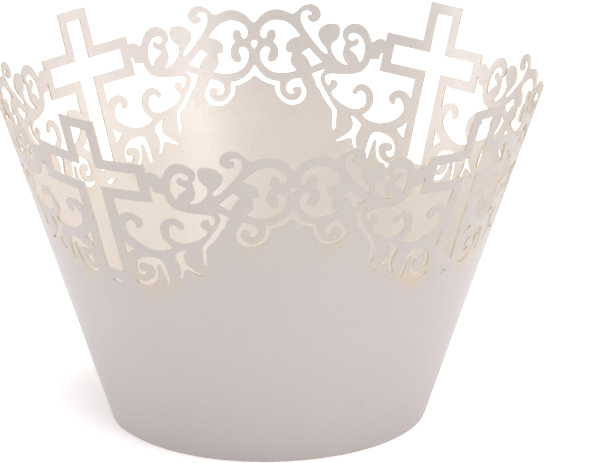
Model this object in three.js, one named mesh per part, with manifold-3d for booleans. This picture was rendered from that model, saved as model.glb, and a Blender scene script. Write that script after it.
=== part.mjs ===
// Cupcake wrapper: one strip of pearl card with a laser-cut lace border of crosses and scrolls,
// rolled into an open cone and glued along a lap.
// Millimetres, +Z up. The origin is the centre of the bottom rim, which stands on z = 0.
// A panel of scrolls faces each of +X, +Y, -X and -Y, with a cross between every two panels,
// and the lap is on -X.

import * as THREE from 'three';
import { mergeVertices } from 'three/addons/utils/BufferGeometryUtils.js';
import Module from 'manifold-3d';

const wasm = await Module();
wasm.setup();

// Cone
const bottomDiameter = 50; // inside, at the bottom rim
const coneHalfAngle = 18.1; // degrees between the wall and the axis
const cardThickness = 0.3;
const repeats = 4; // panels of lace, and crosses, round the wrapper
const facetsPerHalfPanel = 6; // flat facets between a panel's middle and the next cross
const curveTolerance = 0.13; // how far a drawn curve may stand off its chords
const curveSteps = 12; // fine points for each drawn point of a curve, before it is thinned

// Lap joint
const lapWidth = 8; // how far the inner end runs on under the outer one, in the plain wall
const lapHeight = 38; // up the slope, clear of the cuts in the panel's middle
const webLap = 0.8; // the same where the lace is joined in the panel's middle
const webClearance = 0.2; // between such a joint and the cuts above and below it
const glueDepth = 0.04; // how far the two layers are pressed into each other
const easeAngle = 15; // degrees before the lap over which the outer end climbs on to the inner one

// Lace. Its drawing is flat: x across from the axis of a panel or a cross, y up from the lace's
// lowest cut. It is stretched across to fill its share of the cone.
const plainHeight = 30; // up the slope, from the bottom rim to the lowest cut
const panelHalfWidth = 31.5; // from a panel's axis to a cross's axis as drawn, at middleHeight
const middleHeight = 16;

// Cross, an outline of even bars round an opening
const crossTop = 30.9;
const armTop = 24.3;
const armBottom = 17.7;
const armHalfLength = 10.25;
const stemHalfWidth = 3.3;
const barWidth = 1.7;
const footHeight = 4.05; // the lower end of the opening in the stem
const slitHeight = 2; // the small slit below the foot
const slitHalfWidth = 1.1;
const slitHalfDepth = 0.45;
const bridgeTop = 22.67; // the scrolls join the end of the arm between these two heights
const bridgeBottom = 20.4;
const curlHeight = 14.2; // the lowest scroll springs from the stem here

// Worked out from the sizes above
const seamTurn = 180; // degrees round the wrapper from +X to the lap
const slope = THREE.MathUtils.degToRad(coneHalfAngle);
const bottomRadius = bottomDiameter / 2;
const fanRadius = bottomRadius / Math.sin(slope); // from the cone's tip down the slope to the rim
const halfPanelTurn = seamTurn / repeats; // degrees round the wrapper from a panel to a cross
const halfPanelFan = THREE.MathUtils.degToRad(halfPanelTurn) * Math.sin(slope);
const drawnRadius = fanRadius + plainHeight + middleHeight;
const stretch = (drawnRadius * Math.tan(halfPanelFan)) / panelHalfWidth;
const facetTurn = halfPanelTurn / facetsPerHalfPanel;
const overcut = cardThickness; // how far a cutting shape stands out of both faces of the card
const lapTurn = turnAlong(lapWidth, 0);
const nearness = 1e-4; // points this close to each other are one point

function isNear(a, b) {
	return Math.abs(a - b) < nearness;
}

// Degrees round the wrapper that a length along the card covers at a height up the slope.
function turnAlong(length, up) {
	return THREE.MathUtils.radToDeg(length / (fanRadius + up)) / Math.sin(slope);
}

// The strip lies unrolled while it is cut: x is degrees round the wrapper, y is millimetres up the
// slope and z is through the card.
function turnAcross(x, y) {
	const across = x * stretch;
	const up = fanRadius + plainHeight + y;
	return THREE.MathUtils.radToDeg(Math.atan2(across, up)) / Math.sin(slope);
}

function upSlope(x, y) {
	return Math.hypot(x * stretch, fanRadius + plainHeight + y) - fanRadius;
}

function fromPanel([x, y]) {
	return new THREE.Vector2(turnAcross(x, y), upSlope(x, y));
}

function fromCross([x, y]) {
	return new THREE.Vector2(halfPanelTurn - turnAcross(x, y), upSlope(x, y));
}

// Leaves out the points of a fine curve that its chords pass closely enough.
function thinned(points) {
	const first = points[0];
	const last = points[points.length - 1];
	const chord = new THREE.Line3(first, last);
	const foot = new THREE.Vector3();
	let farthest = 0;
	let at = 0;
	points.forEach((point, i) => {
		chord.closestPointToPoint(point, true, foot);
		const gap = foot.distanceTo(point);
		if (gap > farthest) {
			farthest = gap;
			at = i;
		}
	});
	if (farthest <= curveTolerance) return [first, last];
	return [...thinned(points.slice(0, at + 1)).slice(0, -1), ...thinned(points.slice(at))];
}

// One stroke of the drawing: a smooth curve through its points. It leaves out its last point,
// which is where the next stroke starts.
function stroke(points) {
	const knots = points.map(([x, y]) => new THREE.Vector3(x, y, 0));
	const curve = new THREE.CatmullRomCurve3(knots, false, 'centripetal');
	const fine = points.length > 2 ? curve.getPoints(curveSteps * (points.length - 1)) : knots;
	return thinned(fine).slice(0, -1).map((point) => [point.x, point.y]);
}

function chain(strokes) {
	return strokes.flatMap(stroke);
}

// The whole of a ring that is drawn from the panel's axis round to the axis again.
function mirrored(half) {
	const inside = half.filter(([x]) => x > 0).map(([x, y]) => [-x, y]);
	return [...half, ...inside.reverse()];
}

// Panel, from its axis to the right. Strokes meet in corners.
const topEdge = chain([
	// big loop over the oval
	[[0, 25], [0.45, 25.3], [1, 26], [2, 26.75], [3, 27.1], [4, 27.18], [5, 26.95], [5.8, 26.6],
		[6.4, 26.35]],
	// hook with its ball end
	[[6.4, 26.35], [7, 26.7], [7.6, 27.3], [8.35, 27.75], [9.2, 27.95], [10.1, 27.75], [10.8, 27.15],
		[11.1, 26.2], [10.95, 25.5], [10.5, 25.05], [9.9, 24.88], [9.25, 25.05], [8.9, 25.5], [8.9, 26],
		[9.05, 26.2]],
	[[9.05, 26.2], [9.35, 26.1], [9.6, 26.2]],
	[[9.6, 26.2], [9.5, 26.55], [9.15, 26.8], [8.7, 26.87], [8.2, 26.7], [7.87, 26.3], [7.75, 25.6],
		[7.9, 24.8], [8.3, 23.9], [8.9, 22.9], [9.7, 21.75], [10.5, 20.7], [11.3, 19.8], [12, 19.38]],
	// bud
	[[12, 19.38], [12.08, 19.8], [11.85, 20.4], [11.25, 21.2], [10.75, 22], [10.55, 22.7], [10.65, 23.4],
		[11.05, 23.95], [11.65, 24.35], [12.4, 24.55], [13.2, 24.55], [13.85, 24.4], [14.2, 24], [14.3, 23.3],
		[14.2, 22.6], [13.95, 22], [13.5, 21.6], [12.85, 21.15]],
	[[12.85, 21.15], [12.75, 20.6], [12.82, 19.9], [13.15, 19.2], [13.65, 18.5], [14.2, 17.98], [14.9, 17.6],
		[15.5, 17.48]],
	// round curl
	[[15.5, 17.48], [15.2, 17.9], [14.85, 18.5], [14.65, 19.2], [14.7, 19.95], [14.95, 20.7], [15.2, 21.3]],
	[[15.2, 21.3], [14.9, 21.8], [14.7, 22.4], [14.72, 23], [14.95, 23.6], [15.45, 24.05], [16.1, 24.35],
		[16.9, 24.45], [17.8, 24.25], [18.6, 23.65], [19.15, 22.85], [19.45, 22], [19.75, 21.15]],
	// bridge to the cross
	[[19.75, 21.15], [20.15, 21.35], [20.6, 21.6], [21.1, 21.72], [21.6, 21.68], [22.05, 21.45],
		[22.35, 21.2]],
]);

const ovalHole = chain([
	[[1.1, 22.95], [1.35, 22.42], [1.7, 22.3], [1.98, 22.55], [2.1, 23.1], [2.3, 23.55], [2.7, 23.78],
		[3.15, 23.75], [3.5, 23.45], [3.6, 22.9], [3.5, 22.3], [3.15, 21.75]],
	[[3.15, 21.75], [3.6, 21.25], [3.9, 20.6], [4, 19.8], [3.8, 19], [3.4, 18.5], [2.8, 18.3], [2.3, 18.4],
		[2.15, 18.85], [2.25, 19.4], [2.45, 20], [2.55, 20.45], [2.4, 20.82], [2, 20.95], [1.5, 20.78],
		[1.1, 20.3], [0.95, 19.65], [1.02, 18.95], [1.3, 18.2], [1.8, 17.5], [2.4, 16.97], [3.2, 16.57],
		[4.2, 16.45], [5.3, 16.45], [6.2, 16.58], [6.92, 16.85]],
	[[6.92, 16.85], [6.5, 17.25], [6.1, 17.75], [5.92, 18.4], [5.98, 19.1], [6.15, 19.75]],
	[[6.15, 19.75], [5.75, 19.85], [5.35, 20], [5.12, 20.45], [5.15, 21.1], [5.5, 21.7], [6.1, 22.15],
		[6.8, 22.4], [7.6, 22.52]],
	[[7.6, 22.52], [7.2, 23.2], [6.6, 23.95], [5.9, 24.6], [5.2, 25.07], [4.4, 25.33], [3.5, 25.4],
		[2.6, 25.2], [1.85, 24.75], [1.3, 24.15], [1.07, 23.5], [1.1, 22.95]],
]);

const diamondHole = mirrored([...chain([
	[[0, 22.1], [0.35, 21.97], [0.58, 21.6], [0.4, 21.15], [0, 20.5]],
]), [0, 20.5]]);

const kiteHole = chain([
	[[7.75, 19.75], [8.3, 20.08], [9, 20.55]],
	[[9, 20.55], [9.6, 19.85], [10.4, 18.95], [11.2, 18.1]],
	[[11.2, 18.1], [10.3, 17.8], [9.3, 17.35]],
	[[9.3, 17.35], [9.1, 17.95], [8.85, 18.55], [8.4, 19.15], [7.75, 19.75]],
]);

// The two curls that hang below the ovals, in one cut with the V between them.
const curlCut = mirrored([...chain([
	[[0, 17.9], [0.4, 17.3], [0.9, 16.6], [1.6, 15.9], [2.3, 15.45], [3.2, 15.15], [4, 15.05]],
	[[4, 15.05], [3.98, 14.4], [4, 13.7], [4.15, 13.1], [4.5, 12.5], [5, 12.05], [5.6, 11.78], [6.3, 11.75],
		[6.9, 11.95], [7.4, 12.4], [7.65, 12.95], [7.7, 13.45], [7.5, 13.9], [7.05, 14.05], [6.5, 13.98],
		[6.12, 13.75]],
	[[6.12, 13.75], [6.15, 13.45], [6.45, 13.15]],
	[[6.45, 13.15], [6.3, 12.92], [5.95, 12.85], [5.5, 13], [5.2, 13.35], [5.1, 13.85], [5.25, 14.4],
		[5.6, 14.85], [6.1, 15.2], [6.8, 15.42], [7.55, 15.45]],
	[[7.55, 15.45], [7.75, 14.85], [8.05, 14.2], [8.32, 13.6], [8.4, 12.95], [8.2, 12.25], [7.8, 11.65],
		[7.2, 11.2], [6.5, 11], [5.75, 11], [5, 11.27], [4.35, 11.75], [3.8, 12.4], [3.42, 13.1],
		[3.3, 13.8], [3.3, 14.35]],
	[[3.3, 14.35], [2.4, 14.6], [1.6, 14.95], [0.9, 15.4], [0.35, 15.87], [0, 16.1]],
]), [0, 16.1]]);

const roundCurlHole = chain([
	[[15.9, 20.1], [16.35, 20.5], [16.9, 20.62], [17.3, 20.9], [17.45, 21.3], [17.38, 21.7], [17.1, 21.92],
		[16.8, 21.8], [16.45, 21.53]],
	[[16.45, 21.53], [16.05, 21.6], [15.75, 21.82], [15.65, 22.15], [15.85, 22.58], [16.3, 22.83],
		[16.85, 22.83], [17.45, 22.55], [18, 22], [18.35, 21.25], [18.5, 20.4], [18.42, 19.55], [18.2, 18.8],
		[17.95, 18.25], [17.6, 17.87]],
	[[17.6, 17.87], [17.35, 18.1], [17.2, 18.6], [16.9, 19.15], [16.4, 19.65], [15.9, 20.1]],
]);

const longSlit = chain([
	[[9.37, 16.1], [10.1, 16.42], [10.9, 16.7], [11.65, 16.87]],
	[[11.65, 16.87], [11.2, 16.45], [10.88, 15.9], [10.8, 15.3], [10.95, 14.6], [11.3, 13.7], [11.9, 12.7],
		[12.45, 11.6], [12.95, 10.75], [13.4, 10.1]],
	[[13.4, 10.1], [13.42, 9.3], [13.3, 8.2], [13.15, 7], [12.85, 6.6], [12.6, 6.85], [12.6, 7.6],
		[12.68, 8.6], [12.72, 9.4], [12.6, 10.05]],
	[[12.6, 10.05], [12.1, 10.75], [11.5, 11.6], [11, 12.6], [10.6, 13.5], [10.15, 14.1], [9.95, 14.7],
		[9.8, 15.3], [9.37, 16.1]],
]);

const forkCut = chain([
	[[15.7, 9.1], [16.6, 8.6], [17.2, 8], [17.6, 7.4], [17.45, 6.9], [17, 6.2], [16.7, 5.5], [16.6, 4.8],
		[16.7, 4], [16.9, 3.3]],
	[[16.9, 3.3], [16.6, 3.2], [16.25, 3.7], [16.05, 4.4], [16, 5.15]],
	[[16, 5.15], [15.4, 5.2], [14.7, 5], [13.9, 4.75], [13.1, 4.6]],
	[[13.1, 4.6], [13.5, 4.95], [14.2, 5.35], [15, 5.8], [15.7, 6.3], [16.1, 6.9], [16.2, 7.6], [16.05, 8.4],
		[15.7, 9.1]],
]);

const snailCut = chain([
	[[18.2, 1.9], [18.35, 3], [18.7, 4.1], [19.1, 5.1], [19.55, 5.8], [20.2, 6.08], [21.2, 6], [22.2, 5.65],
		[23, 5.1], [23.6, 4.4], [23.87, 3.5], [23.8, 2.7], [23.6, 2.1]],
	[[23.6, 2.1], [23.1, 1.85], [22.6, 1.92], [22.2, 2.3], [22.1, 2.85]],
	[[22.1, 2.85], [22.55, 2.8], [23, 2.85], [23.3, 3.2], [23.3, 3.75], [22.85, 4.15], [22, 4.25],
		[21.25, 4.1], [20.87, 3.65], [20.75, 3], [20.9, 2.3], [21.3, 1.6], [22, 1.05], [22.8, 0.7],
		[23.5, 0.7]],
	[[23.5, 0.7], [23.75, 0.42], [23.5, 0.15]],
	[[23.5, 0.15], [22.7, 0.05], [21.9, 0.25], [21.1, 0.8], [20.5, 1.6], [20.22, 2.6], [20.2, 3.6],
		[20.35, 4.4], [20.25, 4.95]],
	[[20.25, 4.95], [19.95, 4.8], [19.5, 3.9], [19.1, 2.8], [18.8, 1.9]],
	[[18.8, 1.9], [18.5, 1.65], [18.2, 1.9]],
]);

const cornerHole = chain([
	[[26.3, 7.65], [26.05, 6.9], [25.75, 5.9], [25.45, 4.8]],
	[[25.45, 4.8], [25.05, 5.3], [24.6, 5.9], [24.15, 6.45]],
	[[24.15, 6.45], [24.9, 6.7], [25.6, 7.1], [26.3, 7.65]],
]);

// The large opening beside the cross. Its last strokes run on from the cross's bars.
const openingTop = chain([
	[[11.6, 15.2], [11.65, 15.65], [12, 15.95], [12.7, 16.1], [14, 16.02], [15.5, 15.95], [17, 16.05],
		[18, 16.35]],
	[[18, 16.35], [18.6, 16.95], [19.05, 17.6], [19.4, 18.35]],
	[[19.4, 18.35], [20.2, 18.3], [20.95, 18.3]],
	[[20.95, 18.3], [21.1, 18.75], [21.4, 19.2], [21.85, 19.3]],
]);
const openingCurls = chain([
	[[26.9, 11.3], [26.6, 11.85], [26.2, 12.35], [25.6, 12.75], [24.8, 12.98], [24, 12.95], [23.4, 12.7],
		[22.95, 12.25], [22.75, 11.75], [22.85, 11.2], [23.15, 10.8], [23.55, 10.6], [23.75, 10.65]],
	[[23.75, 10.65], [23.85, 11.1], [24.1, 11.55], [24.5, 11.75], [24.95, 11.5], [25.35, 10.95],
		[25.55, 10.3], [25.55, 9.7], [25.25, 9.15], [24.7, 8.65], [24, 8.2], [23, 7.85], [22, 7.62],
		[21, 7.55], [20, 7.7], [19, 8.05], [18.3, 8.45], [17.9, 8.85]],
	[[17.9, 8.85], [18.4, 9.3], [19, 9.7], [19.5, 10.3], [19.8, 11.1], [19.87, 12], [19.7, 12.8],
		[19.3, 13.5], [18.6, 14.05], [17.8, 14.25], [17.1, 14.1], [16.55, 13.65], [16.22, 13.1], [16.3, 12.7],
		[16.6, 12.52], [16.95, 12.55]],
	[[16.95, 12.55], [17.3, 12.95], [17.8, 13.1], [18.3, 12.8], [18.58, 12.2], [18.6, 11.5], [18.45, 10.85],
		[18, 10.4], [17.4, 10.15], [16.6, 10.05], [15.7, 10.25], [14.8, 10.7], [13.9, 11.3], [13.25, 11.9],
		[12.8, 12.45], [12.6, 12.95]],
	[[12.6, 12.95], [12.95, 13.35], [13.4, 13.6], [13.7, 14.05], [13.65, 14.6], [13.25, 15.02],
		[12.65, 15.08]],
	[[12.65, 15.08], [12.5, 14.8], [12.4, 14.4], [12.2, 14.15], [11.9, 14.35], [11.67, 14.8], [11.6, 15.2]],
]);

// Cross, from its axis out to the end of an arm. The bars' middle lines are where the scrolls and
// the large opening end, so that both follow the cross.
const armMiddle = armHalfLength - barWidth / 2;
const stemMiddle = stemHalfWidth - barWidth / 2;
const crossOutline = [
	[0, crossTop], [stemHalfWidth, crossTop], [stemHalfWidth, armTop], [armHalfLength, armTop],
	[armHalfLength, armBottom], [stemHalfWidth, armBottom], [stemHalfWidth, footHeight], [0, footHeight],
];
const openingArm = armHalfLength - barWidth;
const openingStem = stemHalfWidth - barWidth;
const crossOpening = [
	[openingStem, crossTop - barWidth], [openingStem, armTop - barWidth], [openingArm, armTop - barWidth],
	[openingArm, armBottom + barWidth], [openingStem, armBottom + barWidth], [openingStem, footHeight],
];
const footSlit = [
	[0, slitHeight + slitHalfDepth], [slitHalfWidth, slitHeight], [0, slitHeight - slitHalfDepth],
];

// A flat plate of card, or the shape that cuts one, as a solid.
function solidFrom(geometry) {
	geometry.deleteAttribute('normal');
	geometry.deleteAttribute('uv');
	const merged = mergeVertices(geometry, nearness);
	return new wasm.Manifold(new wasm.Mesh({
		numProp: 3,
		vertProperties: new Float32Array(merged.attributes.position.array),
		triVerts: new Uint32Array(merged.index.array),
	}));
}

function plate(points) {
	const geometry = new THREE.ExtrudeGeometry(new THREE.Shape(points), {
		depth: cardThickness,
		bevelEnabled: false,
	});
	return solidFrom(geometry);
}

function cutter(points) {
	const geometry = new THREE.ExtrudeGeometry(new THREE.Shape(points), {
		depth: cardThickness + 2 * overcut,
		bevelEnabled: false,
	});
	geometry.translate(0, 0, -overcut);
	return solidFrom(geometry);
}

// A ring that is drawn from the cross's axis and back, as a whole ring across the axis.
function acrossAxis(half) {
	const near = half.map(fromCross);
	const far = near.map((point) => new THREE.Vector2(2 * halfPanelTurn - point.x, point.y));
	return [...near, ...far.reverse()];
}

function withoutAxisTwins(points) {
	return points.filter((point, i) => i === 0 || point.distanceTo(points[i - 1]) > nearness);
}

// Half a panel and half a cross, from the bottom rim up.
function halfPanel() {
	const sheet = plate([
		new THREE.Vector2(0, 0),
		new THREE.Vector2(0, upSlope(...topEdge[0])),
		...topEdge.slice(1).map(fromPanel),
		fromCross([armMiddle, bridgeTop]),
		fromCross([0, bridgeTop]),
		new THREE.Vector2(halfPanelTurn, 0),
	]);
	const largeOpening = [
		...openingTop.map(fromPanel),
		fromCross([armMiddle, bridgeBottom]),
		fromCross([armMiddle, armBottom + barWidth / 2]),
		fromCross([stemMiddle, armBottom + barWidth / 2]),
		fromCross([stemMiddle, curlHeight]),
		...openingCurls.map(fromPanel),
	];
	const panelHoles = [
		ovalHole, diamondHole, kiteHole, curlCut, roundCurlHole, longSlit, forkCut, snailCut, cornerHole,
	];
	const holes = [largeOpening, ...panelHoles.map((hole) => hole.map(fromPanel))];
	const lace = holes.reduce((rest, hole) => rest.subtract(cutter(hole)), sheet);
	return lace
		.add(plate(crossOutline.map(fromCross)))
		.subtract(cutter(acrossAxis(crossOpening)))
		.subtract(cutter(withoutAxisTwins(acrossAxis(footSlit))));
}

// A copy of a flat solid with each point moved by a rule that keeps the faces pointing outwards,
// or turns them round if the rule mirrors them.
function moved(solid, place, mirrors = false) {
	const mesh = solid.getMesh();
	const position = new Float32Array(mesh.vertProperties.length);
	for (let i = 0; i < position.length; i += 3) {
		const [x, y, z] = mesh.vertProperties.slice(i, i + 3);
		position.set(place(x, y, z), i);
	}
	const index = mesh.triVerts.slice();
	if (mirrors) index.reverse();
	return new wasm.Manifold(new wasm.Mesh({ numProp: 3, vertProperties: position, triVerts: index }));
}

// Half of the strip on one side of +X, made of half panels in turn. Side is 1 or -1.
function halfStrip(half, side) {
	let strip = null;
	for (let i = 0; i < repeats; i++) {
		const start = i * halfPanelTurn;
		const outwards = i % 2 === 0;
		const place = (x, y, z) => [side * (outwards ? start + x : start + halfPanelTurn - x), y, z];
		const piece = moved(half, place, outwards === side < 0);
		strip = strip ? strip.add(piece) : piece;
	}
	return strip;
}

// The inner end of the strip with its lap: a plain tab, and above it a narrow web up to the top
// notch, which stops short of the cuts in the panel's middle.
function innerEndWithTab(half) {
	const webEnd = seamTurn + turnAlong(webLap, lapHeight);
	const tabEnd = seamTurn + lapTurn;
	const notch = upSlope(...topEdge[0]);
	const tab = plate([
		new THREE.Vector2(seamTurn, 0),
		new THREE.Vector2(seamTurn, notch),
		new THREE.Vector2(webEnd, notch),
		new THREE.Vector2(webEnd, lapHeight),
		new THREE.Vector2(tabEnd, lapHeight),
		new THREE.Vector2(tabEnd, 0),
	]);
	const gapBeside = (hole) => {
		const heights = hole.filter(([x]) => Math.abs(x) <= webLap).map(([, y]) => y);
		const low = upSlope(0, Math.min(...heights) - webClearance);
		const high = upSlope(0, Math.max(...heights) + webClearance);
		const start = seamTurn - turnAlong(webClearance, lapHeight);
		return cutter([
			new THREE.Vector2(start, low),
			new THREE.Vector2(tabEnd, low),
			new THREE.Vector2(tabEnd, high),
			new THREE.Vector2(start, high),
		]);
	};
	const strip = halfStrip(half, 1).add(tab);
	return strip.subtract(gapBeside(diamondHole)).subtract(gapBeside(curlCut));
}

// Cuts the flat strip along its fold lines and returns the triangles of its skin, each as three
// points, without the walls that the cuts leave between two facets.
function foldedTriangles(strip) {
	const { min, max } = strip.boundingBox();
	const triangles = [];
	let rest = strip;
	for (let fold = min[0] + facetTurn; rest; fold += facetTurn) {
		const isLast = fold > max[0] - nearness;
		const [after, facet] = isLast ? [null, rest] : rest.splitByPlane([1, 0, 0], fold);
		const mesh = facet.getMesh();
		const corner = (i) => Array.from(mesh.vertProperties.slice(3 * i, 3 * i + 3));
		for (let i = 0; i < mesh.triVerts.length; i += 3) {
			const triangle = Array.from(mesh.triVerts.slice(i, i + 3), corner);
			const isCut = (line) => line > min[0] + nearness && triangle.every(([x]) => isNear(x, line));
			if (!isCut(fold - facetTurn) && (isLast || !isCut(fold))) triangles.push(triangle);
		}
		rest = after;
	}
	return triangles;
}

// Splits the triangles with an edge along a fold line where the facet on the other side has a
// corner on that edge, so that the two facets share every point of the fold.
function matchedAtFolds(triangles) {
	const foldOf = (x) => Math.round(x / facetTurn);
	const isOnFold = ([x]) => isNear(x, foldOf(x) * facetTurn);
	const line = ([x, , z]) => `${foldOf(x)} ${z > cardThickness / 2}`;
	const heights = new Map();
	for (const point of triangles.flat().filter(isOnFold)) {
		if (!heights.has(line(point))) heights.set(line(point), []);
		const known = heights.get(line(point));
		if (!known.some((y) => isNear(y, point[1]))) known.push(point[1]);
	}
	return triangles.flatMap((triangle) => {
		for (let i = 0; i < 3; i++) {
			const [a, b, c] = [0, 1, 2].map((k) => triangle[(i + k) % 3]);
			const isEdge = isOnFold(a) && isOnFold(b) && line(a) === line(b);
			const inside = (y) => (y - a[1]) * (b[1] - y) > 0 && !isNear(y, a[1]) && !isNear(y, b[1]);
			const between = isEdge ? heights.get(line(a)).filter(inside) : [];
			if (between.length) {
				between.sort((p, q) => (p - q) * (b[1] - a[1]));
				const row = [a, ...between.map((y) => [a[0], y, a[2]]), b];
				return row.slice(1).map((point, k) => [row[k], point, c]);
			}
		}
		return [triangle];
	});
}

// Lays a flat point on the cone, whose facets are flat between fold lines. The strip's outer end, on
// the side of -Y, climbs outwards, so that it lies on the inner end.
function rolled([turn, up, through]) {
	const climb = THREE.MathUtils.clamp(1 - (turn + seamTurn - lapTurn) / easeAngle, 0, 1);
	const lift = climb * (cardThickness - glueDepth);
	const facetMiddle = (Math.floor(turn / facetTurn + nearness) + 0.5) * facetTurn;
	const [angle, offMiddle, halfFacet] = [turn, turn - facetMiddle, facetTurn / 2].map(
		THREE.MathUtils.degToRad,
	);
	const inFacet = Math.cos(halfFacet) / Math.cos(offMiddle);
	const coneRadius = (fanRadius + up) * Math.sin(slope);
	const radius = (coneRadius + (through + lift) / Math.cos(slope)) * inFacet;
	return [radius * Math.cos(angle), radius * Math.sin(angle), up * Math.cos(slope)];
}

function rolledSolid(strip) {
	const corners = matchedAtFolds(foldedTriangles(strip)).flat();
	const geometry = new THREE.BufferGeometry();
	const position = new Float32Array(corners.flatMap(rolled));
	geometry.setAttribute('position', new THREE.BufferAttribute(position, 3));
	return solidFrom(geometry);
}

function wrapperGeometry() {
	const half = halfPanel();
	const outerEnd = rolledSolid(halfStrip(half, -1));
	const innerEnd = rolledSolid(innerEndWithTab(half));
	const mesh = outerEnd.add(innerEnd).getMesh();
	const geometry = new THREE.BufferGeometry();
	geometry.setAttribute('position', new THREE.BufferAttribute(mesh.vertProperties, 3));
	geometry.setIndex(new THREE.BufferAttribute(mesh.triVerts, 1));
	geometry.computeVertexNormals();
	return geometry;
}

const pearlCard = new THREE.MeshStandardMaterial({
	color: 0xe8e0dc,
	roughness: 0.45,
	metalness: 0.1,
});

const cupcakeWrapper = new THREE.Group();
const wrapper = new THREE.Mesh(wrapperGeometry(), pearlCard);
wrapper.name = 'wrapper';
cupcakeWrapper.add(wrapper);

export default cupcakeWrapper;
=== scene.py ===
"""Cupcake wrapper: a lace-edged strip of pearl card, cut flat and rolled into an open cone.

The strip is drawn flat, filled, given its thickness and rolled on to the cone. It stands on a pale
floor under soft light. Lengths in the drawing are millimetres; the finished mesh is in metres.
"""

import logging
import math
from dataclasses import dataclass, field
from enum import Enum
from typing import List, Sequence, Tuple

import bmesh
import bpy
from mathutils import Matrix, Vector

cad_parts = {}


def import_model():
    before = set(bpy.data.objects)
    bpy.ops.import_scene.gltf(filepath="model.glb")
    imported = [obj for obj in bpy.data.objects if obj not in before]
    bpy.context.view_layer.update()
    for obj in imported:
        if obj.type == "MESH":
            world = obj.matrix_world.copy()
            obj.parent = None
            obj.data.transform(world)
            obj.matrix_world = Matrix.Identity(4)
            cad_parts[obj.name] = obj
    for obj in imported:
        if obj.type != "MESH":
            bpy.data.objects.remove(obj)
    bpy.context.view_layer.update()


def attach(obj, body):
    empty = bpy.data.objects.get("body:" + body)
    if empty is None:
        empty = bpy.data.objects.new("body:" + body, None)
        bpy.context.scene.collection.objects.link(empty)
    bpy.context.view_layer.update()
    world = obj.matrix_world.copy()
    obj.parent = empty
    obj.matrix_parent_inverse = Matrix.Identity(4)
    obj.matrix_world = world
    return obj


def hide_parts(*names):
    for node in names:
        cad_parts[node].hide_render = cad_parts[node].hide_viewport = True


Point = Tuple[float, float]
Stroke = Sequence[Point]
Colour = Tuple[float, float, float]
Span = Tuple[float, float]
Socket = bpy.types.NodeSocket

MM = 0.001
# A millimetre of the drawing in the UV map "Drawing".
DRAWING_UNIT = 0.01
WHITE = (1.0, 1.0, 1.0, 1.0)
WHOLE = (0.0, 1.0)
# The span that most of a noise pattern's values lie in.
NOISE_SPAN = (0.3, 0.7)

log = logging.getLogger("wrapper")


class CardSide(Enum):
    """Which side of the card a face belongs to; the value is its material's index."""

    OUTSIDE = 0
    INSIDE = 1
    CUT_EDGE = 2


@dataclass(frozen=True)
class Cone:
    """The cone that the strip is rolled on.

    Attributes:
        bottom_radius: inside radius at the bottom rim.
        half_angle: degrees between the wall and the axis.
        repeats: panels of lace, and crosses, round the wrapper.
        plain_height: up the slope, from the bottom rim to the lowest cut.
        panel_half_width: from a panel's axis to a cross's axis as drawn.
        middle_height: height in the lace at which that width is true.
    """

    bottom_radius: float = 25.0
    half_angle: float = 18.1
    repeats: int = 4
    plain_height: float = 30.0
    panel_half_width: float = 31.5
    middle_height: float = 16.0

    @property
    def slope(self) -> float:
        """The half angle in radians."""
        return math.radians(self.half_angle)

    @property
    def fan_radius(self) -> float:
        """From the cone's tip down the slope to the bottom rim."""
        return self.bottom_radius / math.sin(self.slope)

    @property
    def half_fan(self) -> float:
        """Angle of half a panel in the flat sheet, in radians."""
        return math.pi / self.repeats * math.sin(self.slope)

    @property
    def seam_angle(self) -> float:
        """Angle in the flat sheet from the first panel's axis to the seam, in radians."""
        return self.repeats * self.half_fan

    @property
    def stretch(self) -> float:
        """How much the drawing is stretched across to fill its share of the cone."""
        drawn = self.fan_radius + self.plain_height + self.middle_height
        return drawn * math.tan(self.half_fan) / self.panel_half_width

    def from_panel(self, point: Point) -> Point:
        """Lays a drawn point on the flat sheet, whose tip is at the origin.

        Args:
            point: across from the panel's axis and up from the lowest cut.

        Returns:
            The point on the flat sheet, with the panel's axis along +Y.
        """
        return point[0] * self.stretch, self.fan_radius + self.plain_height + point[1]

    def from_cross(self, point: Point) -> Point:
        """Lays a point drawn from the cross's axis on the flat sheet.

        Args:
            point: out from the cross's axis towards the panel, and up from the lowest cut.

        Returns:
            The point on the flat sheet, beside the cross's own axis.
        """
        across, up = self.from_panel(point)
        turn = self.half_fan - math.atan2(across, up)
        reach = math.hypot(across, up)
        return reach * math.sin(turn), reach * math.cos(turn)


@dataclass(frozen=True)
class Spring:
    """How far the rolled card springs out of a true cone, by its own stiffness.

    Attributes:
        close: degrees that the whole wall leans in.
        waves: for each wave round the wrapper, how many times it repeats, the degrees that the
            wall leans out at its crest, and the degrees round from +X to the crest.
    """

    close: float = -0.18
    waves: Tuple[Tuple[int, float, float], ...] = (
        (1, 0.453, 121.1), (2, 0.274, 48.3), (3, 0.157, -27.5),
    )

    def lean(self, cone: Cone, turn: float, up: float) -> float:
        """Works out how far a point of the wall moves out from the axis.

        Args:
            cone: the true cone.
            turn: degrees round the wrapper from +X.
            up: height up the slope from the bottom rim.

        Returns:
            The distance, in millimetres.
        """
        wave = sum(
            high * math.cos(math.radians(count * (turn - crest)))
            for count, high, crest in self.waves
        )
        lean = math.radians(wave) * (cone.fan_radius + up) + math.radians(self.close) * up
        return math.cos(cone.slope) * lean


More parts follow.
